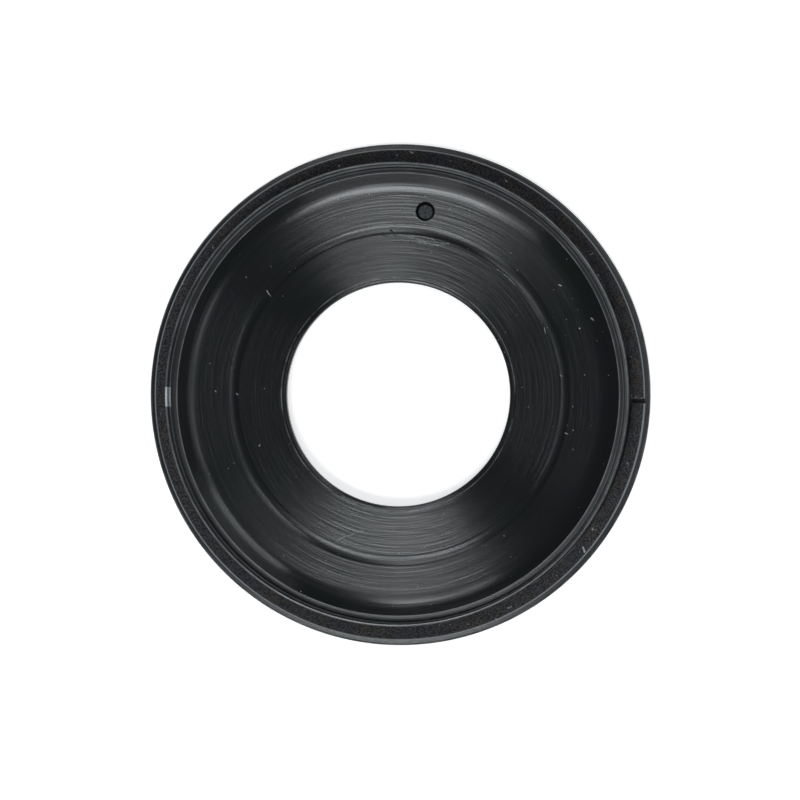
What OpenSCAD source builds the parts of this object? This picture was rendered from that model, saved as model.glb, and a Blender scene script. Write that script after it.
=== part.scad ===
// Flanged gasket: a moulded dish with a bore, and a split ring seated round its collar.
// It lies on its flat foot with the dish up. The origin is on the bore's axis, at the foot.
// Millimetres. The land and groove are built outwards from the bore, every other radius inwards
// from the flange, and every height up from the foot.

/* [Overall] */
// Outer diameter of the flange
flange_d = 90; // [89.5:0.5:110]
// Height from the foot to the tip of the lip
total_h = 9.8; // [8.8:0.1:13]

/* [Flange] */
// Thickness of the flange where the split ring sits on it
flange_t = 1.4; // [1:0.1:2.2]
// Rounding of the flange's upper outer edge
flange_round = 0.4; // [0.2:0.05:0.6]
// Rounding of both lower edges of the foot
foot_round = 0.3; // [0.1:0.05:0.4]
// Radial width of the flat foot
foot_w = 8; // [6:0.5:10]
// Fillet where the foot meets the web's underside
foot_fillet = 1; // [0.4:0.1:1.3]

/* [Collar and lip] */
// Inward lean of the collar's outer face over its height
collar_draft = 0.1; // [0:0.05:0.3]
// Thickness of the lip at its tip
lip_t = 0.4; // [0.3:0.05:0.6]
// Inward lean of the lip's inner face over its height
lip_draft = 0.05; // [0:0.01:0.15]
// Width of the shoulder at the foot of the lip
shoulder_w = 0.2; // [0.1:0.05:0.4]
// Height of the shoulder above the ledge
shoulder_rise = 0.35; // [0.15:0.05:0.7]
// Width of the crevice between the shoulder and the ledge
crevice_w = 0.25; // [0.2:0.05:0.6]
// Depth of the crevice below the ledge
crevice_depth = 0.5; // [0.2:0.05:0.8]

/* [Dish] */
// Width of the ledge between the crevice and the dish
ledge_w = 0.85; // [0.7:0.05:1.3]
// Height of the ledge above the sealing land
ledge_rise = 1.7; // [1.5:0.05:1.9]
// Rounding of the ledge's two edges
ledge_round = 0.15; // [0.05:0.05:0.2]
// Slope of the ledge at its outer edge, where a hollow lifts it
ledge_lift = 25; // [10:1:30]
// Radius of that hollow
ledge_hollow = 1; // [0.4:0.1:1.2]
// Slope of the dish's wall
slope_a = 30; // [25:1:40]
// Slope of the outer floor, from the groove up to the wall's fillet
floor_a = 3; // [1.5:0.5:4]
// Fillet between the dish's wall and its outer floor
dish_fillet = 5; // [3:0.25:6]
// Height of the sealing land above the foot
floor_h = 4.8; // [4.2:0.1:5.6]
// Thickness of the web under the sealing land
web_t = 2.2; // [1.6:0.1:2.8]

/* [Bore and sealing land] */
// Diameter of the bore
bore_d = 40; // [30:0.5:40.5]
// Rounding of the bore's upper edge
bore_round = 0.5; // [0.2:0.05:0.8]
// Chamfer of the bore's lower edge
bore_chamfer = 0.3; // [0.1:0.05:0.5]
// Width of the flat land from the bore to the groove
land_w = 8.65; // [6:0.05:9.1]
// Width of the round-bottomed groove outside the land
groove_w = 2.1; // [1.2:0.1:2.5]
// Depth of the groove
groove_depth = 0.3; // [0.1:0.05:0.5]

/* [Blind hole] */
// Diameter of the blind hole in the floor
pin_hole_d = 3.2; // [2:0.1:3.6]
// Depth of the blind hole
pin_hole_depth = 1; // [0.5:0.1:1.4]
// Chamfer of the blind hole's mouth
pin_hole_chamfer = 0.12; // [0.05:0.01:0.3]
// Distance of the hole's centre from the outer edge of the floor
pin_hole_inset = 3; // [2.1:0.05:3.2]
// Direction of the hole, clockwise from +Y
pin_hole_a = 8.5; // [-180:0.5:180]

/* [Split ring] */
// Radial width of the ring
ring_w = 2.6; // [2:0.1:3]
// Thickness of the ring
ring_t = 1.4; // [1:0.1:2.4]
// Bare margin of the shelf outside the ring
ring_inset = 0.95; // [0.5:0.05:1.4]
// Radial clearance between the ring and the collar
ring_fit = 0.05; // [0.02:0.01:0.2]
// Rounding of the ring's upper edges
ring_round = 0.2; // [0.1:0.05:0.4]
// Width of the cut through the ring
cut_w = 0.8; // [0.3:0.1:2]
// Direction of the cut, clockwise from +Y
cut_a = 91.5; // [-180:0.5:180]

/* [Hidden] */
$fn = 192;
// Segments in a small rounding and in the dish's fillet or groove
round_steps = 5;
fillet_steps = 10;
// Overrun of a cut past the surface that it opens
over = 1;

// Radii, from the flange inwards
flange_r = flange_d / 2;
ring_r = flange_r - ring_inset;
collar_r = ring_r - ring_w - ring_fit;
tip_r = collar_r - collar_draft;
lip_in_r = tip_r - lip_t;
lip_foot_r = lip_in_r - lip_draft;
crevice_out_r = lip_foot_r - shoulder_w;
crevice_in_r = crevice_out_r - crevice_w;
slope_top_r = crevice_in_r - ledge_w;
recess_r = flange_r - foot_w;
bore_r = bore_d / 2;
groove_r = bore_r + land_w + groove_w / 2;

// Heights, from the foot upwards
web_z = floor_h - web_t;
ledge_z = floor_h + ledge_rise;
shoulder_z = ledge_z + shoulder_rise;
edge_z = ledge_z + ledge_hollow - (ledge_round + ledge_hollow) * cos(ledge_lift);
crevice_z = ledge_z - crevice_depth;

// The outer floor starts at floor_in_r, and its line meets the wall's line at corner_r.
// The fillet between them ends floor_set short of that corner, at floor_r.
floor_in_r = bore_r + land_w + groove_w;
corner_r = (slope_top_r * tan(slope_a) - floor_in_r * tan(floor_a) - ledge_rise)
    / (tan(slope_a) - tan(floor_a));
floor_set = dish_fillet * tan((slope_a - floor_a) / 2);
floor_r = corner_r - floor_set * cos(floor_a);
floor_z = floor_h + (floor_r - floor_in_r) * tan(floor_a);

// The blind hole goes straight down from the outer floor
pin_hole_r = floor_r - pin_hole_inset;
pin_hole_z = floor_h + (pin_hole_r - floor_in_r) * tan(floor_a);

// Radius and half angle of the groove's round bottom
groove_round = (pow(groove_w / 2, 2) + pow(groove_depth, 2)) / (2 * groove_depth);
groove_a = asin(groove_w / 2 / groove_round);

// Setback of the ledge's inner rounding along each of its two faces
ledge_set = ledge_round * tan(slope_a / 2);

// Width from the middle of the ledge's outer rounding to the foot of its hollow
hollow_w = (ledge_round + ledge_hollow) * sin(ledge_lift);

// Points of an arc about c, from angle a0 to a1, with or without the first
function arc(c, r, a0, a1, n = round_steps, first = 0) =
    [for (i = [first:n]) let (a = a0 + (a1 - a0) * i / n) c + r * [cos(a), sin(a)]];

// The section's outline, each stretch as [radius, height], anticlockwise from the bore's foot

// Flat foot, from the recess out to the flange, with its two rounded edges
function foot() = concat(
    arc([recess_r + foot_round, foot_round], foot_round, 180, 270),
    arc([flange_r - foot_round, foot_round], foot_round, 270, 360));

// Flange edge and the shelf that the split ring sits on
function shelf() = concat(
    arc([flange_r - flange_round, flange_t - flange_round], flange_round, 0, 90),
    [[collar_r, flange_t]]);

// Outside of the collar, its round tip, and the inside of the lip down to the shoulder
function lip() = concat(
    arc([tip_r - lip_t / 2, total_h - lip_t / 2], lip_t / 2, 0, 180, 2 * round_steps),
    [[lip_foot_r, shoulder_z]]);

// Shoulder, crevice and hollowed ledge, with rounded edges
function shoulder() = concat(
    arc([crevice_out_r + shoulder_w / 2, shoulder_z - shoulder_w / 2], shoulder_w / 2, 90, 180),
    [[crevice_out_r, crevice_z], [crevice_in_r, crevice_z]],
    arc([crevice_in_r - ledge_round, edge_z], ledge_round, 0, 90 + ledge_lift),
    arc([crevice_in_r - ledge_round - hollow_w, ledge_z + ledge_hollow], ledge_hollow,
        270 + ledge_lift, 270, first = 1),
    arc([slope_top_r - ledge_set, ledge_z - ledge_round], ledge_round, 90, 90 + slope_a));

// Fillet from the dish's wall to its outer floor
function dish() =
    arc([floor_r, floor_z] + dish_fillet * [-sin(floor_a), cos(floor_a)], dish_fillet,
        270 + slope_a, 270 + floor_a, fillet_steps);

// Round-bottomed groove between the outer floor and the sealing land
function groove() =
    arc([groove_r, floor_h + groove_round - groove_depth], groove_round,
        270 + groove_a, 270 - groove_a, fillet_steps);

// Bore with a rounded upper edge and a chamfered lower one
function bore() = concat(
    arc([bore_r + bore_round, floor_h - bore_round], bore_round, 90, 180),
    [[bore_r, web_z + bore_chamfer], [bore_r + bore_chamfer, web_z]]);

// Underside of the web, with the fillet that leads down to the foot
function underside() =
    arc([recess_r - foot_fillet, web_z - foot_fillet], foot_fillet, 90, 0);

module gasket_section() {
    polygon(concat(foot(), shelf(), lip(), shoulder(), dish(), groove(), bore(), underside()));
}

module pin_hole() {
    rotate([0, 0, -pin_hole_a]) translate([0, pin_hole_r, pin_hole_z]) {
        translate([0, 0, -pin_hole_depth]) cylinder(d = pin_hole_d, h = pin_hole_depth + over);
        translate([0, 0, -pin_hole_chamfer])
            cylinder(d1 = pin_hole_d, d2 = pin_hole_d + 2 * (pin_hole_chamfer + over),
                     h = pin_hole_chamfer + over);
    }
}

module gasket_body() {
    color([0.09, 0.10, 0.10]) difference() {
        rotate_extrude() gasket_section();
        pin_hole();
    }
}

// Section of the ring, flat on the shelf, with its upper edges rounded
module ring_section() {
    inner_r = collar_r + ring_fit;
    top_z = flange_t + ring_t;
    polygon(concat(
        [[inner_r, flange_t], [ring_r, flange_t]],
        arc([ring_r - ring_round, top_z - ring_round], ring_round, 0, 90),
        arc([inner_r + ring_round, top_z - ring_round], ring_round, 90, 180)));
}

// The ring starts and ends inside the cut, which then gives it two parallel end faces
module split_ring() {
    end_a = asin(cut_w / 4 / ring_r);
    color([0.14, 0.12, 0.13]) rotate([0, 0, 90 - cut_a]) difference() {
        rotate([0, 0, end_a]) rotate_extrude(angle = 360 - 2 * end_a) ring_section();
        translate([collar_r - over, -cut_w / 2, flange_t - over])
            cube([ring_w + 2 * over, cut_w, ring_t + 2 * over]);
    }
}

gasket_body();
split_ring();
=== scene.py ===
"""Flanged gasket: a moulded rubber dish with a bore and a thin lip, and a split rubber ring
seated on its flange. It is laid out as an add-on and run as a script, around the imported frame."""

import math

import bpy
from bpy.props import FloatProperty, FloatVectorProperty, IntProperty, PointerProperty
from mathutils import Matrix, Vector


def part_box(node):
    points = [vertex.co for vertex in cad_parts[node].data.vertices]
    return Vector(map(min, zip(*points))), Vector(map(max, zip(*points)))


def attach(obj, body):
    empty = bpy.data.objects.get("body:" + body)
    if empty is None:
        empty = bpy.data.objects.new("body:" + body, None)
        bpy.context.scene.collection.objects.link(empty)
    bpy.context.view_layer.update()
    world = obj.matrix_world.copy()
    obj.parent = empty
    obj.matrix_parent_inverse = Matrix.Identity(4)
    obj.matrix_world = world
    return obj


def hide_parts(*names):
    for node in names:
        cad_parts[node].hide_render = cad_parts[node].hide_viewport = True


bl_info = {
    "name": "Flanged gasket",
    "version": (1, 0, 0),
    "blender": (4, 5, 0),
    "location": "3D View > Sidebar > Gasket",
    "description": "Models a flanged rubber gasket with its split ring, marks and dust",
    "category": "Add Mesh",
}

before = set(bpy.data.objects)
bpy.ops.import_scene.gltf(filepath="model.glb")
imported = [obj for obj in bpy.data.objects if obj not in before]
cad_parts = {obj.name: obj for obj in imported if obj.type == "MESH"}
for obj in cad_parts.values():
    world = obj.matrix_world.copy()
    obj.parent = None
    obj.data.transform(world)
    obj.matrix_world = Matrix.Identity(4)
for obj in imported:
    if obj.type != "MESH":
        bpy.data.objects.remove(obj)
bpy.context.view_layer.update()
BODY_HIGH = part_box("gasket_body")[1]
MM = 0.001
QUARTER = math.pi / 2


# Sizes and finishes, which the sidebar shows

def length(name, description, millimetres):
    """A size that a user may change, given here in millimetres."""
    return FloatProperty(name=name, description=description, default=millimetres * MM,
                         min=0.0, soft_max=0.2, unit="LENGTH", precision=5)


def tint(name, description, colour):
    """A colour that a user may change."""
    return FloatVectorProperty(name=name, description=description, default=colour,
                               subtype="COLOR", size=3, min=0.0, max=1.0)


def share(name, description, value):
    """A plain number from nought to one."""
    return FloatProperty(name=name, description=description, default=value,
                         min=0.0, max=1.0, subtype="FACTOR")


def turn(name, description, degrees):
    """An angle, given here in degrees."""
    return FloatProperty(name=name, description=description, default=math.radians(degrees),
                         subtype="ANGLE", unit="ROTATION")


class GasketSizes(bpy.types.PropertyGroup):
    """Sizes of the moulding and of the ring round its collar."""

    flange_radius: length("Flange radius", "From the bore's axis to the flange's edge",
                          BODY_HIGH.x / MM)
    height: length("Height", "From the foot to the tip of the lip", BODY_HIGH.z / MM)
    flange: length("Flange thickness", "Height of the shelf that the ring sits on", 1.4)
    flange_round: length("Flange rounding", "Rounding of the flange's upper edge", 0.4)
    flange_fall: turn("Flange fall", "Outward fall of the bare margin outside the ring", 8.0)
    foot_round: length("Foot rounding", "Rounding of the foot's two lower edges", 0.3)
    foot_width: length("Foot width", "Radial width of the flat foot", 8.0)
    foot_fillet: length("Foot fillet", "Fillet between the foot and the web", 1.0)
    collar_draft: length("Collar draft", "Inward lean of the collar over its height", 0.1)
    lip: length("Lip thickness", "Thickness of the lip at its tip", 0.4)
    lip_draft: length("Lip draft", "Inward lean of the lip's inner face", 0.05)
    tip_fall: turn("Tip fall", "Outward fall of the lip's tip", 12.0)
    tip_inner: length("Inner tip rounding", "Rounding of the tip's inner edge", 0.08)
    tip_outer: length("Outer tip rounding", "Rounding of the tip's outer edge", 0.15)
    shoulder: length("Shoulder width", "Width of the shoulder at the lip's foot", 0.2)
    shoulder_rise: length("Shoulder rise", "Height of the shoulder above the ledge", 0.35)
    crevice: length("Crevice width", "Gap between the shoulder and the ledge", 0.25)
    crevice_depth: length("Crevice depth", "Depth of the crevice below the ledge", 0.5)
    ledge: length("Ledge width", "Flat ledge between the crevice and the dish", 0.85)
    ledge_rise: length("Ledge rise", "Height of the ledge above the sealing land", 1.7)
    ledge_round: length("Ledge rounding", "Rounding of the ledge's two edges", 0.15)
    ledge_crown: length("Ledge crown", "Radius of the ledge's crowned top", 6.0)
    ledge_fall: turn("Ledge fall", "Outward fall where the crown starts", 1.0)
    slope: turn("Slope", "Slope of the dish's wall", 30.0)
    floor_slope: turn("Floor slope", "Slope of the outer floor, up from the groove", 3.0)
    dish_fillet: length("Dish fillet", "Fillet between the wall and the outer floor", 5.0)
    floor: length("Floor height", "Height of the sealing land above the foot", 4.8)
    web: length("Web thickness", "Thickness of the web under the sealing land", 2.2)
    bore_radius: length("Bore radius", "Radius of the bore", 20.0)
    bore_round: length("Bore rounding", "Rounding of the bore's upper edge", 0.5)
    bore_chamfer: length("Bore chamfer", "Chamfer of the bore's lower edge", 0.3)
    land: length("Land width", "Flat land from the bore to the groove", 8.65)
    groove: length("Groove width", "Width of the round-bottomed groove", 2.1)
    groove_depth: length("Groove depth", "Depth of the groove", 0.3)
    groove_edge: length("Groove edge", "Rounding of the groove's two edges", 0.25)
    rim_mark: length("Rim mark", "Width of the fine line turned round the bore", 0.3)
    hole: length("Hole radius", "Radius of the blind hole in the floor", 1.6)
    hole_depth: length("Hole depth", "Depth of the blind hole", 1.0)
    hole_chamfer: length("Hole chamfer", "Chamfer of the blind hole's mouth", 0.12)
    hole_inset: length("Hole inset", "From the floor's outer edge to the hole", 3.0)
    hole_turn: turn("Hole direction", "Clockwise from +Y", 8.5)
    ring: length("Ring width", "Radial width of the split ring", 2.6)
    ring_height: length("Ring thickness", "Thickness of the split ring", 1.4)
    ring_margin: length("Ring margin", "Bare shelf outside the ring", 0.95)
    ring_fit: length("Ring fit", "Gap between the ring and the collar", 0.05)
    ring_round: length("Ring rounding", "Rounding of the ring's upper edges", 0.2)
    cut: length("Cut width", "Gap between the ring's two ends", 0.8)
    cut_turn: turn("Cut direction", "Clockwise from +Y", 91.5)
    end_round: length("End rounding", "Rounding of the ring's two ends", 0.12)
    spring: length("Spring", "How far one end of the ring stands out of true", 0.18)
    steps: IntProperty(name="Steps", description="Faces round the gasket", default=512,
                       min=64, max=640)


class GasketFinish(bpy.types.PropertyGroup):
    """Colours and wear of the rubber, with its painted sheen, painted reflection and painted edge
    highlights.
    """

    rubber: tint("Rubber", "Moulded rubber", (0.0100, 0.0124, 0.0113))
    cool: tint("Cool rubber", "Bluish clouds in the moulded rubber", (0.0114, 0.0118, 0.0138))
    lip_rubber: tint("Lip rubber", "Paler rubber of the thin lip", (0.013, 0.016, 0.0165))
    # Painted sheen: a pale colour on the lip's inner face stands in for its gloss
    painted_sheen: tint("Film", "Pale film on the lip's inner face", (0.046, 0.056, 0.058))
    ledge_rubber: tint("Ledge rubber", "Rubber of the ledge", (0.0165, 0.0165, 0.0195))
    ring: tint("Ring", "Rubber of the split ring", (0.0255, 0.0218, 0.0190))
    ring_cool: tint("Cool ring", "Purplish clouds in the split ring", (0.0170, 0.0182, 0.0265))
    dust: tint("Dust", "Dust specks and fibres", (0.42, 0.43, 0.42))
    # Also the colour of the painted highlights along the edges of the ledge, the lip and the ring
    scuff_and_highlight: tint("Scuff", "Rubber paled by a scratch or a worn edge", (0.16, 0.165, 0.17))
    # Painted reflection: a pale patch on the lip's inner face stands in for a lamp's reflection
    painted_reflection: tint("Patch", "Pale patch on the lip's inner face", (0.50, 0.54, 0.57))
    dish_gloss: share("Dish roughness", "Roughness of the turned dish", 0.24)
    lip_gloss: share("Lip roughness", "Roughness of the ledge and the lip", 0.32)
    plain_gloss: share("Plain roughness", "Roughness of the flange and underside", 0.30)
    ring_gloss: share("Ring roughness", "Roughness of the ring's rubber", 0.72)
    dust_share: share("Dust share", "Share of the places that hold a speck", 0.16)


# Modelling by hand

# Points nearer than this are one point, and edges sharper than this stay sharp
MERGE = 1e-6
SHARP = math.radians(28)


def put_down():
    """Leaves edit mode and deselects everything."""
    if bpy.context.object and bpy.context.object.mode != "OBJECT":
        bpy.ops.object.mode_set(mode="OBJECT")
    bpy.ops.object.select_all(action="DESELECT")


def take(piece):
    """Makes a piece the only one selected."""
    put_down()
    piece.select_set(True)
    bpy.context.view_layer.objects.active = piece


class Section:
    """A section traced point by point in the XZ plane, from a plane merged to one point."""

    def __init__(self, name, radius, height):
        put_down()
        bpy.ops.mesh.primitive_plane_add(size=MM, location=(radius, 0, height))
        self.piece = bpy.context.object
        self.piece.name = self.piece.data.name = name
        bpy.ops.object.transform_apply(location=True, rotation=True, scale=True)
        bpy.ops.object.mode_set(mode="EDIT")
        bpy.ops.mesh.select_mode(type="VERT")
        bpy.ops.mesh.select_all(action="SELECT")
        bpy.ops.mesh.merge(type="CENTER")
        self.at = Vector((radius, height))

    def line(self, radius, height, steps=1):
        """A straight stretch to the next point, in one or more equal steps."""
        step = (Vector((radius, height)) - self.at) / steps
        if step.length > MERGE:
            for _ in range(steps):
                bpy.ops.mesh.extrude_vertices_move(
                    TRANSFORM_OT_translate={"value": (step.x, 0, step.y)})
            self.at = Vector((radius, height))

    def arc(self, radius, height, angle, steps):
        """An arc about a centre, anticlockwise for a positive angle."""
        bpy.ops.mesh.spin(steps=steps, angle=angle, center=(radius, 0, height),
                          axis=(0, 1, 0))
        arm = self.at - Vector((radius, height))
        c, s = math.cos(angle), math.sin(angle)
        self.at = Vector((radius + arm.x * c - arm.y * s, height + arm.x * s + arm.y * c))

    def close(self):
        """Joins the last point to the first, where they meet, and gives the piece."""
        bpy.ops.mesh.select_all(action="SELECT")
        bpy.ops.mesh.remove_doubles(threshold=MERGE)
        return self.piece


def revolve(piece, steps):
    """Turns a section once round the Z axis and closes the seam."""
    take(piece)
    turned = piece.modifiers.new("turned", "SCREW")
    turned.axis, turned.angle = "Z", 2 * math.pi
    turned.steps = turned.render_steps = steps
    turned.use_merge_vertices, turned.merge_threshold = True, MERGE
    bpy.ops.object.modifier_apply(modifier=turned.name)
    bpy.ops.object.mode_set(mode="EDIT")
    tidy_mesh()


def tidy_mesh():
    """Merges doubles and turns all faces outwards, in edit mode."""
    bpy.ops.mesh.select_all(action="SELECT")
    bpy.ops.mesh.remove_doubles(threshold=MERGE)
    bpy.ops.mesh.normals_make_consistent(inside=False)


def finish_mesh(piece):
    """Smooth shading that keeps the sharp edges and leaves wide flat faces flat."""
    take(piece)
    bpy.ops.object.shade_smooth_by_angle(angle=SHARP, keep_sharp_edges=False)
    weigh = piece.modifiers.new("flat faces stay flat", "WEIGHTED_NORMAL")
    weigh.keep_sharp = True
    weigh.weight = 100
    bpy.ops.object.modifier_apply(modifier=weigh.name)
    put_down()


def paint(piece, material, chosen=None):
    """Gives a material to the whole piece, or to the faces whose centre and normal pass."""
    piece.data.materials.append(material)
    index = len(piece.data.materials) - 1
    for face in piece.data.polygons:
        if chosen is None or chosen(face.center, face.normal):
            face.material_index = index


def heading(clockwise):
    """The unit vector of a direction given clockwise from +Y."""
    return Vector((math.sin(clockwise), math.cos(clockwise), 0))


# Nodes

def empty_tree(owner):
    """The node tree of a new material or world, emptied."""
    owner.use_nodes = True
    owner.node_tree.nodes.clear()
    return owner.node_tree


def feed(tree, made, feeds):
    """Feeds a node's inputs, by name or number, from other nodes or with plain values."""
    for key, value in dict(feeds).items():
        if isinstance(value, bpy.types.NodeSocket):
            tree.links.new(value, made.inputs[key])
        else:
            made.inputs[key].default_value = value


def node(tree, kind, feeds=(), **settings):
    """Adds a node with its settings and feeds its inputs."""
    made = tree.nodes.new("ShaderNode" + kind)
    for name, value in settings.items():
        setattr(made, name, value)
    feed(tree, made, feeds)
    return made


def maths(tree, operation, *values):
    """The result socket of a Math node."""
    return node(tree, "Math", dict(enumerate(values)), operation=operation).outputs[0]


def vectors(tree, operation, *values, out="Vector"):
    """A result socket of a Vector Math node."""
    return node(tree, "VectorMath", dict(enumerate(values)), operation=operation).outputs[out]


def scaled(tree, vector, by):
    """A vector made longer or shorter."""
    return node(tree, "VectorMath", {0: vector, "Scale": by}, operation="SCALE").outputs[0]


def joined(tree, x=0.0, y=0.0, z=0.0):
    """A vector put together from its three values."""
    return node(tree, "CombineXYZ", {0: x, 1: y, 2: z}).outputs[0]


def parted(tree, vector):
    """The three values of a vector."""
    return node(tree, "SeparateXYZ", {0: vector}).outputs


def ramp(tree, value, low, high, first=0.0, last=1.0):
    """A value that goes from first to last while another goes from low to high."""
    return node(tree, "MapRange", {"Value": value, "From Min": low, "From Max": high,
                                   "To Min": first, "To Max": last}).outputs[0]


def noise(tree, place, scale, detail, roughness=0.5):
    """The value and colour sockets of a Noise Texture."""
    return node(tree, "TexNoise", {"Vector": place, "Scale": scale, "Detail": detail,
                                   "Roughness": roughness}).outputs


def flattened(tree, place):
    """A place carried straight down to the foot's plane."""
    return vectors(tree, "MULTIPLY", place, (1, 1, 0))


def radius_of(tree, place):
    """A place's distance from the Z axis."""
    return vectors(tree, "LENGTH", flattened(tree, place), out="Value")


def blend_colour(tree, mask, low, high):
    """A colour that goes from low to high with a mask."""
    ends = [end if isinstance(end, bpy.types.NodeSocket) else (*end, 1.0) for end in (low, high)]
    return node(tree, "Mix", {0: mask, 6: ends[0], 7: ends[1]}, data_type="RGBA").outputs[2]


def times(colour, by):
    """A plain colour made lighter or darker."""
    return [value * by for value in colour]


def bumped(tree, height, distance, strength=1.0, under=None):
    """The normal that a height gives, laid over another normal if there is one."""
    feeds = {"Height": height, "Distance": distance, "Strength": strength}
    if under is not None:
        feeds["Normal"] = under
    return node(tree, "Bump", feeds).outputs[0]


# Node groups that several materials share

def new_group(name, places, numbers, results):
    """A node group with its vector inputs, its numbers with their defaults and its results.
    Gives the group, the sockets that its inputs arrive at, and the node that takes the results."""
    group = bpy.data.node_groups.new(name, "ShaderNodeTree")
    for label in places:
        group.interface.new_socket(label, in_out="INPUT", socket_type="NodeSocketVector")
    for label, value in numbers.items():
        made = group.interface.new_socket(label, in_out="INPUT", socket_type="NodeSocketFloat")
        made.default_value = value
    for label in results:
        group.interface.new_socket(label, in_out="OUTPUT", socket_type="NodeSocketFloat")
    given = group.nodes.new("NodeGroupInput").outputs
    return group, given, group.nodes.new("NodeGroupOutput")


def turned_marks(name):
    """Fine marks that run round the axis, as a lathe leaves in a mould, and fade in and out."""
    group, given, out = new_group(name, ["Position"], {"Spacing": 0.7 * MM, "Length": 2.0},
                                  ["Height", "Streak"])
    flat = flattened(group, given["Position"])
    around = vectors(group, "MULTIPLY", vectors(group, "NORMALIZE", flat),
                     joined(group, given["Length"], given["Length"]))
    across = maths(group, "DIVIDE", vectors(group, "LENGTH", flat, out="Value"),
                   given["Spacing"])
    for label, spread, seed, detail in (("Height", 1.0, 0.0, 1.6), ("Streak", 0.55, 7.0, 4.0)):
        climb = joined(group, seed, 0.0, maths(group, "MULTIPLY", across, spread))
        place = vectors(group, "ADD", around, climb)
        feed(group, out, {label: noise(group, place, scale=1.0, detail=detail)[0]})
    return group


def dust_specks(name):
    """Specks of dust: some cells of a cell pattern each hold one, more of them towards +X."""
    group, given, out = new_group(
        name, ["Position"], {"Cell": 2.0 * MM, "Size": 0.1, "Share": 0.2, "Seed": 0.0},
        ["Specks"])
    place = given["Position"]
    moved = vectors(group, "ADD", place, joined(group, given["Seed"], given["Seed"]))
    cells = node(group, "TexVoronoi", {
        "Vector": moved, "Scale": maths(group, "DIVIDE", 1.0, given["Cell"])}, feature="F1")
    chance = node(group, "SeparateColor", {0: cells.outputs["Color"]}).outputs
    thick = maths(group, "MULTIPLY", given["Share"],
                  ramp(group, parted(group, place)[0], -40 * MM, 40 * MM, 0.5, 1.5))
    held = maths(group, "MULTIPLY", maths(group, "LESS_THAN", chance[0], thick),
                 maths(group, "MULTIPLY_ADD", chance[2], 0.7, 0.3))
    size = maths(group, "MULTIPLY", given["Size"], maths(group, "ADD", 0.35, chance[1]))
    speck = ramp(group, cells.outputs["Distance"], maths(group, "MULTIPLY", size, 0.6), size,
                 1.0, 0.0)
    feed(group, out, {"Specks": maths(group, "MULTIPLY", held, speck)})
    return group


def scratch(name):
    """One scratch from a point to another, seen along Z, with a wandering line and soft sides."""
    group, given, out = new_group(name, ["Position", "From", "To"], {"Width": 0.2 * MM},
                                  ["Mask"])
    place, start = given["Position"], given["From"]
    shake = noise(group, place, scale=1400.0, detail=3.0, roughness=0.6)
    wander = vectors(group, "SUBTRACT", shake[1], (0.5, 0.5, 0.5))
    moved = vectors(group, "ADD", place, scaled(group, wander, 0.5 * MM))
    from_start = vectors(group, "SUBTRACT", flattened(group, moved), start)
    along = vectors(group, "SUBTRACT", given["To"], start)
    reach = maths(group, "DIVIDE",
                  vectors(group, "DOT_PRODUCT", from_start, along, out="Value"),
                  vectors(group, "DOT_PRODUCT", along, along, out="Value"))
    nearest = scaled(group, along, node(group, "Clamp", {"Value": reach}).outputs[0])
    off = vectors(group, "LENGTH", vectors(group, "SUBTRACT", from_start, nearest), out="Value")
    line = ramp(group, off, maths(group, "MULTIPLY", given["Width"], 0.15),
                maths(group, "MULTIPLY", given["Width"], 0.5), 1.0, 0.0)
    broken = ramp(group, shake[0], 0.38, 0.55, 0.25, 1.0)
    feed(group, out, {"Mask": maths(group, "MULTIPLY", line, broken)})
    return group


def edge_wear_and_highlight(name):
    """Wear and painted highlight along a round edge, given by its radius and height, broken up by
    noise.
    """
    group, given, out = new_group(
        name, ["Position"], {"Radius": 40 * MM, "Height": 0.0, "Width": 0.15 * MM, "Least": 0.3},
        ["Mask"])
    place = given["Position"]
    off = vectors(group, "LENGTH", joined(
        group, maths(group, "SUBTRACT", radius_of(group, place), given["Radius"]),
        maths(group, "SUBTRACT", parted(group, place)[2], given["Height"])), out="Value")
    near = ramp(group, off, maths(group, "MULTIPLY", given["Width"], 0.3), given["Width"],
                1.0, 0.0)
    patchy = noise(group, place, scale=260.0, detail=4.0, roughness=0.65)[0]
    kept = ramp(group, patchy, 0.38, 0.62, given["Least"], 1.0)
    feed(group, out, {"Mask": maths(group, "MULTIPLY", near, kept)})
    return group


def clouds(name):
    """Soft clouds for faint changes of colour, and a finer mottle."""
    group, given, out = new_group(name, ["Position"], {"Size": 8 * MM}, ["Clouds", "Mottle"])
    coarse = maths(group, "DIVIDE", 1.0, given["Size"])
    for label, finer, low, high in (("Clouds", 1.0, 0.35, 0.65), ("Mottle", 14.0, 0.3, 0.7)):
        value = noise(group, given["Position"], scale=maths(group, "MULTIPLY", coarse, finer),
                      detail=3.0, roughness=0.6)[0]
        feed(group, out, {label: ramp(group, value, low, high)})
    return group


GROUPS = {"Turned marks": turned_marks, "Dust specks": dust_specks, "Scratch": scratch,
          "Edge wear and highlight": edge_wear_and_highlight, "Clouds": clouds}


def placed(tree, name, **values):
    """The results of a shared group, which is built the first time it is asked for."""
    group = bpy.data.node_groups.get(name) or GROUPS[name](name)
    return node(tree, "Group", values, node_tree=group).outputs


def all_marks(tree, place, marks):
    """One mask of all the straight marks, each given in millimetres with its width."""
    mask = 0.0
    for x0, y0, x1, y1, width in marks:
        mark = placed(tree, "Scratch", Position=place, From=(x0 * MM, y0 * MM, 0),
                      To=(x1 * MM, y1 * MM, 0), Width=width * MM)
        mask = maths(tree, "MAXIMUM", mask, mark[0])
    return mask


def all_edges(tree, place, edges):
    """One mask of all the edges with wear and painted highlight, each given by its radius, height,
    width and least share.
    """
    mask = 0.0
    for radius, height, width, least in edges:
        edge = placed(tree, "Edge wear and highlight", Position=place, Radius=radius, Height=height,
                      Width=width * MM, Least=least)
        mask = maths(tree, "MAXIMUM", mask, edge[0])
    return mask
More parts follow.
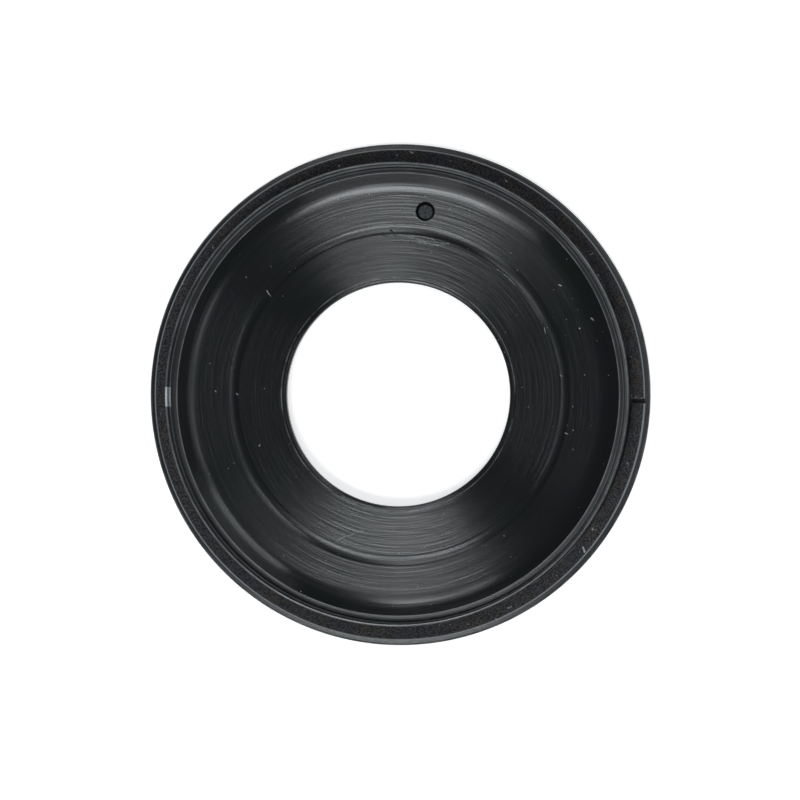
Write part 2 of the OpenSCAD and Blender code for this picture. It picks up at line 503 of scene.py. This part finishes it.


# Marks in millimetres, each with its two ends and its width: on the dish scuffs that show pale,
# dark nicks, and fibres and flecks, and on the ring fibres and flecks, and a painted highlight
# along the edges of its cut
DISH_SCUFFS = (
    (0.2, 28.5, 2.4, 28.0, 0.16), (2.4, 28.0, 4.6, 27.4, 0.18), (1.6, 28.4, 4.4, 28.2, 0.14),
    (4.4, 28.2, 6.6, 27.6, 0.14), (2.0, 27.6, 5.2, 27.2, 0.14), (4.6, 27.4, 9.2, 26.9, 0.2),
    (5.6, 26.6, 8.4, 26.7, 0.22), (3.6, 27.0, 6.0, 26.8, 0.12),
    (-10.6, -25.9, -9.4, -25.5, 0.22), (-9.0, -25.3, -7.6, -24.8, 0.2),
    (-7.2, -24.7, -6.1, -24.3, 0.18), (17.8, 22.3, 19.6, 21.0, 0.16),
    (19.6, 21.0, 21.0, 19.5, 0.2))
DISH_NICKS = ((-1.3, 29.5, -0.4, 28.3, 0.3), (-3.1, 28.6, -1.8, 28.2, 0.2))
DISH_FLECKS = (
    (-23.6, 18.6, -23.2, 18.1, 0.16), (-23.2, 18.1, -22.9, 17.6, 0.16),
    (-29.0, 0.1, -28.8, 0.0, 0.26), (-24.9, -9.2, -24.8, -9.1, 0.26),
    (-32.8, 0.6, -32.7, 0.5, 0.22), (32.4, 11.8, 32.5, 11.7, 0.28),
    (34.6, 13.5, 34.9, 13.2, 0.3), (29.0, 3.4, 29.2, 3.2, 0.26),
    (28.8, 19.6, 29.2, 19.3, 0.22), (26.2, 11.9, 26.3, 10.9, 0.18),
    (-30.0, 4.9, -29.9, 4.8, 0.24), (29.9, -6.8, 30.3, -7.1, 0.24))
RING_FLECKS_AND_CUT_HIGHLIGHT = (
    (-0.4, 42.9, -0.3, 42.8, 0.34), (2.0, 43.5, 2.5, 43.3, 0.36), (-10.8, 41.0, -10.7, 40.9, 0.3),
    (19.2, 38.3, 19.4, 38.0, 0.26), (13.4, 41.8, 14.2, 41.6, 0.16), (35.4, 21.4, 35.8, 21.3, 0.3),
    (34.7, -23.9, 34.7, -24.1, 0.42), (33.0, -27.3, 33.3, -28.1, 0.46),
    (40.9, -12.2, 41.0, -12.5, 0.32), (34.2, 24.9, 34.7, 25.2, 0.2),
    (-33.6, 26.6, -33.4, 26.2, 0.2), (19.6, -38.2, 20.2, -37.9, 0.22),
    # The last three are no flecks but a painted highlight along the edges of the ring's cut
    (41.1, -0.66, 43.5, -0.72, 0.2), (41.2, -0.2, 41.7, -0.3, 0.2), (41.1, -0.6, 41.2, -0.2, 0.16))


# Materials

def new_material(name):
    """A material with its tree, its shader and the position it reads."""
    made = bpy.data.materials.new(name)
    tree = empty_tree(made)
    shader = node(tree, "BsdfPrincipled")
    node(tree, "OutputMaterial", {"Surface": shader.outputs[0]})
    return made, tree, shader, node(tree, "TexCoord").outputs["Object"]


def dish_rubber(finish, r, z):
    """Satin rubber with marks turned round the axis, for the floor and the wall."""
    made, tree, shader, place = new_material("moulded_rubber_dish")
    turned = placed(tree, "Turned marks", Position=place, Spacing=0.38 * MM, Length=2.6)
    tinge = placed(tree, "Clouds", Position=place, Size=11 * MM)["Clouds"]
    dust = placed(tree, "Dust specks", Position=place, Cell=1.1 * MM, Size=0.08,
                  Share=finish.dust_share * 1.5, Seed=0.31)[0]
    scuffs = all_marks(tree, place, DISH_SCUFFS)
    nicks = all_marks(tree, place, DISH_NICKS)
    flecks = maths(tree, "MAXIMUM", dust, all_marks(tree, place, DISH_FLECKS))
    rim = all_edges(tree, place, ((r["rim"], z["land"], 0.13, 0.0),))
    colour = blend_colour(tree, tinge, finish.rubber, finish.cool)
    colour = blend_colour(tree, maths(tree, "MAXIMUM", scuffs, rim), colour, finish.scuff_and_highlight)
    colour = blend_colour(tree, nicks, colour, times(finish.rubber, 0.3))
    colour = blend_colour(tree, flecks, colour, finish.dust)

    # From the fillet outwards the marks are fainter and the rubber is glossier
    fade = 0.6 * MM
    smooth = ramp(tree, radius_of(tree, place), r["floor"] - fade, r["floor"] + fade)
    rough = ramp(tree, turned["Streak"], 0.3, 0.7, finish.dish_gloss * 0.88,
                 finish.dish_gloss * 1.12)
    rough = maths(tree, "ADD", rough, maths(
        tree, "MULTIPLY", maths(tree, "MAXIMUM", flecks, nicks), 0.4))
    rough = maths(tree, "SUBTRACT", rough, maths(tree, "MULTIPLY", smooth, 0.04))
    fine = maths(tree, "MULTIPLY", maths(tree, "SUBTRACT", turned["Height"], 0.5),
                 maths(tree, "SUBTRACT", 1.0, maths(tree, "MULTIPLY", smooth, 0.6)))
    dents = maths(tree, "MAXIMUM", maths(tree, "MULTIPLY", scuffs, 0.4), nicks)
    relief = maths(tree, "SUBTRACT", flecks, dents)
    normal = bumped(tree, fine, distance=0.065 * MM)
    normal = bumped(tree, relief, distance=0.05 * MM, strength=0.6, under=normal)
    around = node(tree, "Tangent", direction_type="RADIAL", axis="Z").outputs[0]
    feed(tree, shader, {"Base Color": colour, "Roughness": rough, "Normal": normal,
                        "Tangent": around, "Anisotropic": 0.95, "Anisotropic Rotation": 0.25})
    return made


def lip_rubber(finish, r, z, s):
    """Glossy rubber of the ledge and the thin lip, with edges partly worn and partly a painted
    highlight, a painted sheen on the lip's inner face and a painted reflection as a pale patch.
    """
    made, tree, shader, place = new_material("moulded_rubber_lip")
    cloudy = placed(tree, "Clouds", Position=place, Size=6 * MM)
    radius, along = radius_of(tree, place), parted(tree, place)
    # Painted highlight, partly wear too: paler lines along the ledge's inner edge, the lip's tip
    # and the shoulder
    edges = all_edges(tree, place, (
        (r["slope_top"], z["ledge"], 0.18, 0.4), (r["tip"] - s.lip / 2, s.height, 0.17, 0.35),
        (r["crevice_out"] + s.shoulder / 2, z["shoulder"], 0.1, 0.2)))

    # The ledge's outer edge carries a painted highlight too, most of all towards +X
    outer_edge_highlight = all_edges(tree, place, (
        (r["crevice_in"] - 0.05 * MM, z["edge"] + 0.1 * MM, 0.24, 0.65),))
    brighter_towards_east = ramp(tree, along[0], -34 * MM, -8 * MM, 0.15, 1.0)
    edges = maths(tree, "MAXIMUM", edges, maths(tree, "MULTIPLY", outer_edge_highlight, brighter_towards_east))

    # The painted reflection is a pale strip over the lip at -X, and none of it is on the ledge
    ledge = maths(tree, "LESS_THAN", radius, r["crevice_out"])
    west = maths(tree, "LESS_THAN", along[0], maths(tree, "MULTIPLY", ledge, -s.flange_radius))
    off = maths(tree, "ABSOLUTE", maths(tree, "ADD", along[1], 0.43 * MM))
    painted_reflection = maths(tree, "MULTIPLY", ramp(tree, off, 1.65 * MM, 1.8 * MM, 1.0, 0.0), west)

    # Painted sheen: the lip's inner face is given a paler colour
    painted_sheen_face = maths(tree, "LESS_THAN", radius, r["lip_in"] + 0.02 * MM)
    tone = blend_colour(tree, painted_sheen_face, finish.lip_rubber, finish.painted_sheen)
    tone = blend_colour(tree, ledge, tone, finish.ledge_rubber)
    shade = blend_colour(tree, cloudy["Clouds"], (0.7, 0.7, 0.7), (1.3, 1.3, 1.3))
    colour = blend_colour(tree, edges, vectors(tree, "MULTIPLY", tone, shade), finish.scuff_and_highlight)
    colour = blend_colour(tree, painted_reflection, colour, finish.painted_reflection)
    feed(tree, shader, {"Base Color": colour, "Roughness": finish.lip_gloss,
                        "Normal": bumped(tree, cloudy["Mottle"], distance=0.004 * MM)})
    return made


def hole_masks(tree, place, s, hole):
    """Masks of the blind hole, but not the underside below it, and of the painted shade round its
    floor.
    """
    off = radius_of(tree, vectors(tree, "SUBTRACT", place, hole))
    inside = maths(tree, "MULTIPLY", maths(tree, "LESS_THAN", off, s.hole + s.hole_chamfer),
                   maths(tree, "GREATER_THAN", parted(tree, place)[2], s.floor - s.web / 2))
    # Painted shade: a dark ring where the hole's floor meets its wall
    hole_corner_shade = maths(tree, "MULTIPLY", inside, ramp(tree, off, 0.68 * s.hole, 0.84 * s.hole))
    return inside, hole_corner_shade


def plain_rubber(finish, r, s, hole):
    """Plain satin rubber of the flange, the collar, the underside and the blind hole, with painted
    shade round the hole's floor.
    """
    made, tree, shader, place = new_material("moulded_rubber_plain")
    cloudy = placed(tree, "Clouds", Position=place, Size=7 * MM)
    dust = placed(tree, "Dust specks", Position=place, Cell=2.4 * MM, Size=0.05,
                  Share=finish.dust_share, Seed=0.57)[0]
    edges = all_edges(tree, place, (
        (s.flange_radius - 0.1 * MM, s.flange - 0.1 * MM, 0.25, 0.15),
        (s.flange_radius, s.foot_round, 0.2, 0.1), (r["recess"], s.foot_round, 0.2, 0.1),
        (s.bore_radius, s.floor - s.web + s.bore_chamfer, 0.15, 0.1)))
    colour = blend_colour(tree, cloudy["Clouds"], times(finish.rubber, 1.6),
                          times(finish.cool, 1.6))
    colour = blend_colour(tree, edges, colour, finish.scuff_and_highlight)
    colour = blend_colour(tree, dust, colour, finish.dust)
    inside, hole_corner_shade = hole_masks(tree, place, s, hole)
    settled = blend_colour(tree, cloudy["Mottle"], (1.0, 1.0, 1.0), (4.0, 4.0, 4.0))
    colour = blend_colour(tree, inside, colour, vectors(tree, "MULTIPLY", colour, settled))
    # Painted shade round the hole's floor
    colour = blend_colour(tree, hole_corner_shade, colour, (0.0, 0.0, 0.0))
    rough = maths(tree, "MULTIPLY_ADD", cloudy["Mottle"], 0.08, finish.plain_gloss - 0.04)
    grain = noise(tree, place, scale=1500.0, detail=4.0)[0]
    feed(tree, shader, {
        "Base Color": colour, "Roughness": maths(tree, "MAXIMUM", rough, hole_corner_shade),
        "Normal": bumped(tree, grain, distance=0.01 * MM),
        "Specular IOR Level": 0.27})
    return made


def ring_rubber(finish, r, s):
    """Matt rubber of the split ring, mottled and dusty, with upper edges partly worn and partly a
    painted highlight, and a painted highlight at its cut.
    """
    made, tree, shader, place = new_material("split_ring_matt")
    cloudy = placed(tree, "Clouds", Position=place, Size=4 * MM)
    dust = placed(tree, "Dust specks", Position=place, Cell=1.0 * MM, Size=0.1,
                  Share=finish.dust_share * 2.6, Seed=0.73)[0]
    # These flecks carry the painted highlight at the ring's cut as well
    flecks = maths(tree, "MAXIMUM", dust, all_marks(tree, place, RING_FLECKS_AND_CUT_HIGHLIGHT))
    top = s.flange + s.ring_height
    # Painted highlight, partly wear too: pale lines along the ring's upper edges
    edges = all_edges(tree, place, (
        (r["ring"] - 0.06 * MM, top - 0.04 * MM, 0.24, 0.8),
        (r["collar"] + s.ring_fit + 0.05 * MM, top - 0.03 * MM, 0.13, 0.1)))
    grit = ramp(tree, cloudy["Mottle"], 0.32, 0.68, 0.1, 1.9)
    colour = blend_colour(tree, cloudy["Clouds"], finish.ring, finish.ring_cool)
    colour = vectors(tree, "MULTIPLY", colour, joined(tree, grit, grit, grit))
    colour = blend_colour(tree, edges, colour, times(finish.scuff_and_highlight, 1.7))
    colour = blend_colour(tree, flecks, colour, finish.dust)
    rough = maths(tree, "MULTIPLY_ADD", cloudy["Mottle"], -0.2, finish.ring_gloss + 0.1)
    grain = noise(tree, place, scale=2500.0, detail=4.0)[0]
    normal = bumped(tree, grain, distance=0.02 * MM)
    normal = bumped(tree, flecks, distance=0.06 * MM, strength=0.6, under=normal)
    feed(tree, shader, {"Base Color": colour, "Roughness": rough, "Normal": normal,
                        "Specular IOR Level": 0.4})
    return made


# Pieces

# Arc of the ring over which its sprung end leaves the circle
SPRUNG = math.radians(60)


def radii_and_heights(s):
    """Radii and heights that follow from the sizes, each step in from the flange's edge."""
    r = {"ring": s.flange_radius - s.ring_margin}
    r["collar"] = r["ring"] - s.ring - s.ring_fit
    r["tip"] = r["collar"] - s.collar_draft
    r["lip_in"] = r["tip"] - s.lip
    r["lip_foot"] = r["lip_in"] - s.lip_draft
    r["crevice_out"] = r["lip_foot"] - s.shoulder
    r["crevice_in"] = r["crevice_out"] - s.crevice
    r["slope_top"] = r["crevice_in"] - s.ledge
    r["recess"] = s.flange_radius - s.foot_width
    r["groove"] = s.bore_radius + s.land + s.groove / 2
    r["rim"] = s.bore_radius + s.bore_round + 1.5 * s.rim_mark
    z = {"land": s.floor, "web": s.floor - s.web, "ledge": s.floor + s.ledge_rise}
    z["shoulder"] = z["ledge"] + s.shoulder_rise
    z["crevice"] = z["ledge"] - s.crevice_depth

    # The outer floor's line meets the wall's at a corner, which the dish's fillet cuts off
    steep, gentle = math.tan(s.slope), math.tan(s.floor_slope)
    start = r["groove"] + s.groove / 2
    corner = (r["slope_top"] * steep - start * gentle - s.ledge_rise) / (steep - gentle)
    setback = s.dish_fillet * math.tan((s.slope - s.floor_slope) / 2)
    r["floor"] = corner - setback * math.cos(s.floor_slope)
    z["floor"] = s.floor + (r["floor"] - start) * gentle
    r["wall"] = corner + setback * math.cos(s.slope)
    z["wall"] = z["ledge"] - (r["slope_top"] - r["wall"]) * steep
    r["hole"] = r["floor"] - s.hole_inset
    z["hole"] = s.floor + (r["hole"] - start) * gentle

    # The ledge's crown is an arc between the centres of its two edges
    arm = s.ledge_crown - s.ledge_round
    r["ledge"] = r["slope_top"] - s.ledge_round * math.tan(s.slope / 2)
    r["crown"] = r["ledge"] - arm * math.sin(s.ledge_fall)
    z["crown"] = z["ledge"] - s.ledge_round - arm * math.cos(s.ledge_fall)
    r["edge"] = r["crevice_in"] - s.ledge_round
    z["edge"] = z["crown"] + math.sqrt(arm ** 2 - (r["edge"] - r["crown"]) ** 2)
    return r, z


def trace_foot(t, s, r):
    """The flat foot and its two rounded edges."""
    t.arc(r["recess"] + s.foot_round, s.foot_round, QUARTER, steps=5)
    t.line(s.flange_radius - s.foot_round, 0)
    t.arc(s.flange_radius - s.foot_round, s.foot_round, QUARTER, steps=5)


def trace_flange(t, s, r):
    """The flange's edge, its margin that falls outwards from under the ring, and the shelf."""
    slope, edge = math.tan(s.flange_fall), s.flange_radius - s.flange_round
    start, bend = r["ring"] - 0.1 * MM, r["ring"] - 0.05 * MM
    below = s.flange - (edge - start) * slope - s.flange_round / math.cos(s.flange_fall)
    t.line(s.flange_radius, below)
    t.arc(edge, below, QUARTER - s.flange_fall, steps=8)
    t.line(bend, s.flange - (bend - start) * slope)
    t.line(start, s.flange)
    t.line(r["collar"], s.flange)


def trace_lip(t, s, r, z):
    """The collar's outside, the lip's sloping tip and its inner face."""
    fall, inside, outside = s.tip_fall, r["lip_in"] + s.tip_inner, r["tip"] - s.tip_outer
    under = (s.height - s.tip_inner - (outside - inside) * math.tan(fall)
             - (s.tip_outer - s.tip_inner) / math.cos(fall))
    t.line(r["tip"], under)
    t.arc(outside, under, QUARTER - fall, steps=6)
    t.line(inside + s.tip_inner * math.sin(fall),
           s.height - s.tip_inner * (1 - math.cos(fall)))
    t.arc(inside, s.height - s.tip_inner, QUARTER + fall, steps=6)
    t.line(r["lip_foot"], z["shoulder"])


def trace_ledge(t, s, r, z):
    """The shoulder at the lip's foot, the crevice, and the crowned ledge with its two edges."""
    half = s.shoulder / 2
    t.line(r["crevice_out"] + half, z["shoulder"])
    t.arc(r["crevice_out"] + half, z["shoulder"] - half, QUARTER, steps=6)
    t.line(r["crevice_out"], z["crevice"])
    t.line(r["crevice_in"], z["crevice"])
    fall = math.atan2(r["edge"] - r["crown"], z["edge"] - z["crown"])
    t.line(r["crevice_in"], z["edge"])
    t.arc(r["edge"], z["edge"], QUARTER - fall, steps=7)
    t.arc(r["crown"], z["crown"], fall - s.ledge_fall, steps=7)
    t.arc(r["ledge"], z["ledge"] - s.ledge_round, s.slope + s.ledge_fall, steps=6)


def trace_dish(t, s, r, z):
    """The dish's wall, its fillet, the outer floor and the groove with its two rounded edges."""
    tilt, depth, half, edge = s.floor_slope, s.groove_depth, s.groove / 2, s.groove_edge
    t.line(r["wall"], z["wall"])
    t.arc(r["floor"] - s.dish_fillet * math.sin(tilt),
          z["floor"] + s.dish_fillet * math.cos(tilt), tilt - s.slope, steps=18)
    bottom = (half * half + depth * depth) / (2 * depth)
    reach = math.sqrt((bottom + edge) ** 2 - (bottom - depth + edge) ** 2)
    sweep = math.asin(reach / (bottom + edge))
    t.line(r["groove"] + reach - edge * math.sin(tilt),
           s.floor - edge * (1 - math.cos(tilt)), steps=12)
    t.arc(r["groove"] + reach, s.floor - edge, sweep - tilt, steps=5)
    t.arc(r["groove"], s.floor + bottom - depth, -2 * sweep, steps=14)
    t.arc(r["groove"] - reach, s.floor - edge, sweep, steps=5)


def trace_bore(t, s, z):
    """The sealing land with the fine line turned in it, and the bore with its two edges."""
    rounded, half = s.bore_radius + s.bore_round, s.rim_mark / 2
    mark, lift = rounded + s.rim_mark, 0.6 * s.rim_mark
    t.line(mark + half, s.floor)
    t.arc(mark, s.floor + lift, -2 * math.atan(half / lift), steps=6)
    t.line(rounded, s.floor)
    t.arc(rounded, s.floor - s.bore_round, QUARTER, steps=9)
    t.line(s.bore_radius, z["web"] + s.bore_chamfer)
    t.line(s.bore_radius + s.bore_chamfer, z["web"])


def trace_underside(t, s, r, z):
    """The web's underside and the fillet down to the foot."""
    t.line(r["recess"] - s.foot_fillet, z["web"])
    t.arc(r["recess"] - s.foot_fillet, z["web"] - s.foot_fillet, -QUARTER, steps=8)
    t.line(r["recess"], s.foot_round)


def drill(piece, s, centre, mouth):
    """Cuts the blind hole with a flared plug, shaped from a cylinder."""
    put_down()
    bpy.ops.mesh.primitive_cylinder_add(
        vertices=72, radius=s.hole, depth=s.hole_depth - s.hole_chamfer,
        location=(centre.x, centre.y, mouth - (s.hole_depth + s.hole_chamfer) / 2))
    plug = bpy.context.object
    bpy.ops.object.transform_apply(location=True, rotation=True, scale=True)
    bpy.ops.object.mode_set(mode="EDIT")
    bpy.ops.mesh.select_mode(type="FACE")
    bpy.ops.mesh.select_all(action="DESELECT")
    bpy.ops.object.mode_set(mode="OBJECT")
    for face in plug.data.polygons:
        face.select = face.normal.z > 0.9
    bpy.ops.object.mode_set(mode="EDIT")
    over = 3 * s.hole_chamfer
    bpy.ops.mesh.extrude_region_move(TRANSFORM_OT_translate={"value": (0, 0, over)})
    wide = (s.hole + over) / s.hole
    bpy.ops.transform.resize(value=(wide, wide, 1), center_override=(centre.x, centre.y, mouth))
    take(piece)
    cut = piece.modifiers.new("blind hole", "BOOLEAN")
    cut.operation, cut.solver, cut.object = "DIFFERENCE", "EXACT", plug
    bpy.ops.object.modifier_apply(modifier=cut.name)
    bpy.data.meshes.remove(plug.data)


class GASKET_OT_moulding(bpy.types.Operator):
    """Model the one-piece moulding: foot, flange, collar, lip, dish, groove and bore"""

    bl_idname = "gasket.moulding"
    bl_label = "Moulding"

    def execute(self, context):
        s, finish = context.scene.gasket_sizes, context.scene.gasket_finish
        r, z = radii_and_heights(s)
        hole = heading(s.hole_turn) * r["hole"]
        piece = self.trace(s, r, z)
        revolve(piece, s.steps)
        drill(piece, s, hole, z["hole"])
        wall_top, mouth = r["slope_top"] - 0.05 * MM, s.hole + 1.5 * s.hole_chamfer

        def on_dish(at, facing):
            """Whether a face is on the dish's floor or wall, outside the blind hole."""
            level = facing.z > 0.95 and at.z > z["hole"] - s.hole_chamfer
            return (at.xy.length < wall_top and at.z > z["web"] + 0.6 * s.web
                    and facing.z > 0.2 and ((at.xy - hole.xy).length > mouth or level))

        def on_lip(at, facing):
            """Whether a face is on the ledge, in the crevice, or on the lip's inside or tip."""
            return wall_top < at.xy.length < r["tip"] and at.z > z["crevice"] - 0.01 * MM

        paint(piece, plain_rubber(finish, r, s, hole))
        paint(piece, dish_rubber(finish, r, z), on_dish)
        paint(piece, lip_rubber(finish, r, z, s), on_lip)
        finish_mesh(piece)
        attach(piece, "root")
        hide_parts("gasket_body")
        return {"FINISHED"}

    def trace(self, s, r, z):
        """Traces the moulding's closed section, anticlockwise from the foot's inner edge."""
        t = Section("gasket_moulding", r["recess"], s.foot_round)
        trace_foot(t, s, r)
        trace_flange(t, s, r)
        trace_lip(t, s, r, z)
        trace_ledge(t, s, r, z)
        trace_dish(t, s, r, z)
        trace_bore(t, s, z)
        trace_underside(t, s, r, z)
        return t.close()


class GASKET_OT_split_ring(bpy.types.Operator):
    """Model the split ring round the collar, with its cut and its sprung end"""

    bl_idname = "gasket.split_ring"
    bl_label = "Split ring"

    def execute(self, context):
        s, finish = context.scene.gasket_sizes, context.scene.gasket_finish
        r = radii_and_heights(s)[0]
        inner = r["collar"] + s.ring_fit
        middle = Vector((inner + s.ring / 2, 0, s.flange + s.ring_height / 2))
        gap = math.asin((s.cut / 2 + s.end_round) / middle.x)
        piece = self.trace(s, inner, r["ring"])
        bpy.ops.mesh.select_all(action="SELECT")
        bpy.ops.mesh.edge_face_add()
        self.round_end(s, middle, growing=True)
        self.sweep(s, middle.x, gap)
        self.round_end(s, middle, growing=False)
        bpy.ops.mesh.select_all(action="SELECT")
        start = QUARTER - s.cut_turn + gap - s.end_round / middle.x
        bpy.ops.transform.rotate(value=-start, orient_axis="Z", center_override=(0, 0, 0))
        tidy_mesh()
        put_down()
        paint(piece, ring_rubber(finish, r, s))
        finish_mesh(piece)
        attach(piece, "root")
        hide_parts("split_ring")
        return {"FINISHED"}

    def trace(self, s, inner, outer):
        """Traces the ring's closed section, flat on the shelf."""
        top = s.flange + s.ring_height
        t = Section("split_ring_rubber", inner, s.flange)
        t.line(outer, s.flange)
        t.line(outer, top - s.ring_round)
        t.arc(outer - s.ring_round, top - s.ring_round, QUARTER, steps=6)
        t.line(inner + s.ring_round, top)
        t.arc(inner + s.ring_round, top - s.ring_round, QUARTER, steps=6)
        t.line(inner, s.flange)
        return t.close()

    def sweep(self, s, radius, gap):
        """Sweeps the section round the collar, and its last stretch a little out of true."""
        share_sprung = SPRUNG / (2 * math.pi)
        true_arc = 2 * math.pi - 2 * gap - SPRUNG
        bpy.ops.mesh.spin(steps=round(s.steps * (1 - share_sprung)), angle=true_arc,
                          center=(0, 0, 0), axis=(0, 0, -1))
        shift = s.spring / (1 - math.cos(SPRUNG))
        centre = heading(QUARTER + 2 * gap + SPRUNG) * -shift
        held = SPRUNG - math.asin(shift * math.sin(SPRUNG) / (radius + shift))
        bpy.ops.mesh.spin(steps=round(s.steps * share_sprung), angle=held,
                          center=centre, axis=(0, 0, -1))

    def round_end(self, s, middle, growing):
        """Carries the end face along +Y in three steps while it grows or shrinks by a round."""
        stops = [math.radians(a) for a in (0, 30, 60, 90)]
        if growing:
            inset = [s.end_round * (1 - math.sin(a)) for a in stops]
            along = [s.end_round * (1 - math.cos(a)) for a in stops]
            self.scale(s, middle, 0, inset[0])
        else:
            inset = [s.end_round * (1 - math.cos(a)) for a in stops]
            along = [s.end_round * math.sin(a) for a in stops]
        for k in range(3):
            bpy.ops.mesh.extrude_region_move(
                TRANSFORM_OT_translate={"value": (0, along[k + 1] - along[k], 0)})
            self.scale(s, middle, inset[k], inset[k + 1])

    def scale(self, s, middle, before, after):
        """Scales the chosen end face about the middle of the ring's section."""
        size = (s.ring, s.ring_height)
        wide, tall = ((d - 2 * after) / (d - 2 * before) for d in size)
        bpy.ops.transform.resize(value=(wide, 1, tall), center_override=middle)


# Stage

# Soft lamps: direction clockwise from +Y, angle off the axis and both spans in degrees, and
# radiance, and then for all of them the aim and distance in metres
LAMPS = (
    ("lamp_front", 191, 21, (21, 9), 17.2), ("lamp_front_low", 201, 14, (16, 9), 2.7),
    ("lamp_front_high", 201, 29, (26, 9), 4.7), ("lamp_back", 349, 23, (7, 9), 4.5),
    ("lamp_back_left", 340, 29, (14, 9), 8.2), ("lamp_back_right", 42, 29, (16, 9), 6.8),
    ("lamp_right", 93, 21, (24, 9), 3.3),
    ("lamp_far_front", 180, 66, (40, 9), 2.2), ("lamp_far_left", 210, 50, (25, 9), 1.7),
    ("lamp_far_back", 45, 66, (40, 9), 1.5))
LAMP_AIM = (0, 0, 5 * MM)
LAMP_DISTANCE = 1.0
LAMP_COLOUR = (0.93, 0.97, 1.0)

# Camera: its aim and distance in metres, its direction clockwise from +Y and its angle off the
# axis in degrees, and its lens in millimetres. +Y is up in the picture
CAMERA_AIM = (0.086 * MM, -0.974 * MM, MM)
CAMERA_DISTANCE = 0.8
CAMERA_SIDE = 96
CAMERA_TILT = 4.1
CAMERA_LENS = 200.46

# Grey of the floor, the glow that lifts it to white, and the world's light on the object
FLOOR_GREY = 0.80
FLOOR_GLOW = 0.60
WORLD_LIGHT = 0.02


def floor_material():
    """Pale floor that shows white to the camera and in gloss, and keeps the shadow."""
    made = bpy.data.materials.new("pale_floor")
    tree = empty_tree(made)
    rays = node(tree, "LightPath").outputs
    seen = maths(tree, "MAXIMUM", rays["Is Camera Ray"], rays["Is Glossy Ray"])
    diffuse = node(tree, "BsdfDiffuse", {"Color": (FLOOR_GREY, FLOOR_GREY, FLOOR_GREY, 1)})
    glow = node(tree, "Emission", {"Color": (1, 1, 1, 1),
                                   "Strength": maths(tree, "MULTIPLY", seen, FLOOR_GLOW)})
    both = node(tree, "AddShader", {0: diffuse.outputs[0], 1: glow.outputs[0]})
    node(tree, "OutputMaterial", {"Surface": both.outputs[0]})
    return made


def aimed(at, clockwise, zenith, distance, up):
    """The matrix of a lamp or camera that looks at a place from a direction and a distance."""
    back = heading(math.radians(clockwise)) * math.sin(math.radians(zenith))
    back.z = math.cos(math.radians(zenith))
    side = Vector(up).cross(back).normalized()
    turn_to = Matrix((side, back.cross(side), back)).transposed().to_4x4()
    return Matrix.Translation(Vector(at) + back * distance) @ turn_to


def stand(name, data, matrix):
    """Adds a lamp or camera to the scene, at its place."""
    made = bpy.data.objects.new(name, data)
    bpy.context.scene.collection.objects.link(made)
    made.matrix_world = matrix
    return made


class GASKET_OT_stage(bpy.types.Operator):
    """Set the floor, the world, the lamps and the camera"""

    bl_idname = "gasket.stage"
    bl_label = "Stage"

    def execute(self, context):
        scene = context.scene
        scene.view_settings.view_transform = "Standard"
        self.lay_floor()
        self.set_world(scene)
        for name, clockwise, zenith, span, radiance in LAMPS:
            self.add_lamp(name, clockwise, zenith, span, radiance)
        data = bpy.data.cameras.new("camera")
        data.lens, data.sensor_width = CAMERA_LENS, 36.0
        data.clip_start, data.clip_end = 0.05, 20.0
        view = aimed(CAMERA_AIM, CAMERA_SIDE, CAMERA_TILT, CAMERA_DISTANCE, up=(0, 1, 0))
        scene.camera = stand("camera", data, view)
        return {"FINISHED"}

    def lay_floor(self):
        """Lays a wide floor a hair below the foot."""
        put_down()
        bpy.ops.mesh.primitive_plane_add(size=6.0, location=(0, 0, -0.02 * MM))
        floor = bpy.context.object
        floor.name = floor.data.name = "pale_floor"
        floor.data.materials.append(floor_material())

    def set_world(self, scene):
        """Gives the scene a world that is white to the camera and lights the object faintly."""
        scene.world = bpy.data.worlds.new("studio")
        tree = empty_tree(scene.world)
        seen = maths(tree, "MULTIPLY", node(tree, "LightPath").outputs["Is Camera Ray"],
                     1.0 - WORLD_LIGHT)
        sky = node(tree, "Background", {"Color": (0.95, 0.98, 1.0, 1),
                                        "Strength": maths(tree, "ADD", WORLD_LIGHT, seen)})
        node(tree, "OutputWorld", {"Surface": sky.outputs[0]})

    def add_lamp(self, name, clockwise, zenith, span, radiance):
        """Adds a rectangular soft lamp aimed at the dish, whose spans are seen from there."""
        data = bpy.data.lights.new(name, "AREA")
        data.shape = "RECTANGLE"
        data.size, data.size_y = (2 * LAMP_DISTANCE * math.tan(math.radians(a) / 2) for a in span)
        data.energy = radiance * math.pi * data.size * data.size_y
        data.color = LAMP_COLOUR
        stand(name, data, aimed(LAMP_AIM, clockwise, zenith, LAMP_DISTANCE, up=(0, 0, 1)))


class GASKET_PT_sidebar(bpy.types.Panel):
    """Lists the gasket's pieces and sizes"""

    bl_idname = "GASKET_PT_sidebar"
    bl_label = "Flanged gasket"
    bl_space_type = "VIEW_3D"
    bl_region_type = "UI"
    bl_category = "Gasket"

    def draw(self, context):
        column = self.layout.column()
        for operator in OPERATORS:
            column.operator(operator.bl_idname)
        for group in (context.scene.gasket_sizes, context.scene.gasket_finish):
            for name in group.__annotations__:
                column.prop(group, name)


OPERATORS = (GASKET_OT_moulding, GASKET_OT_split_ring, GASKET_OT_stage)
CLASSES = (GasketSizes, GasketFinish, *OPERATORS, GASKET_PT_sidebar)


def register():
    """Registers the classes and their properties."""
    for made in CLASSES:
        bpy.utils.register_class(made)
    bpy.types.Scene.gasket_sizes = PointerProperty(type=GasketSizes)
    bpy.types.Scene.gasket_finish = PointerProperty(type=GasketFinish)


def unregister():
    """Takes the properties and the classes away again."""
    del bpy.types.Scene.gasket_finish
    del bpy.types.Scene.gasket_sizes
    for made in reversed(CLASSES):
        bpy.utils.unregister_class(made)


def main():
    """Builds every piece and the stage."""
    register()
    bpy.ops.gasket.moulding()
    bpy.ops.gasket.split_ring()
    bpy.ops.gasket.stage()


if __name__ == "__main__":
    main()
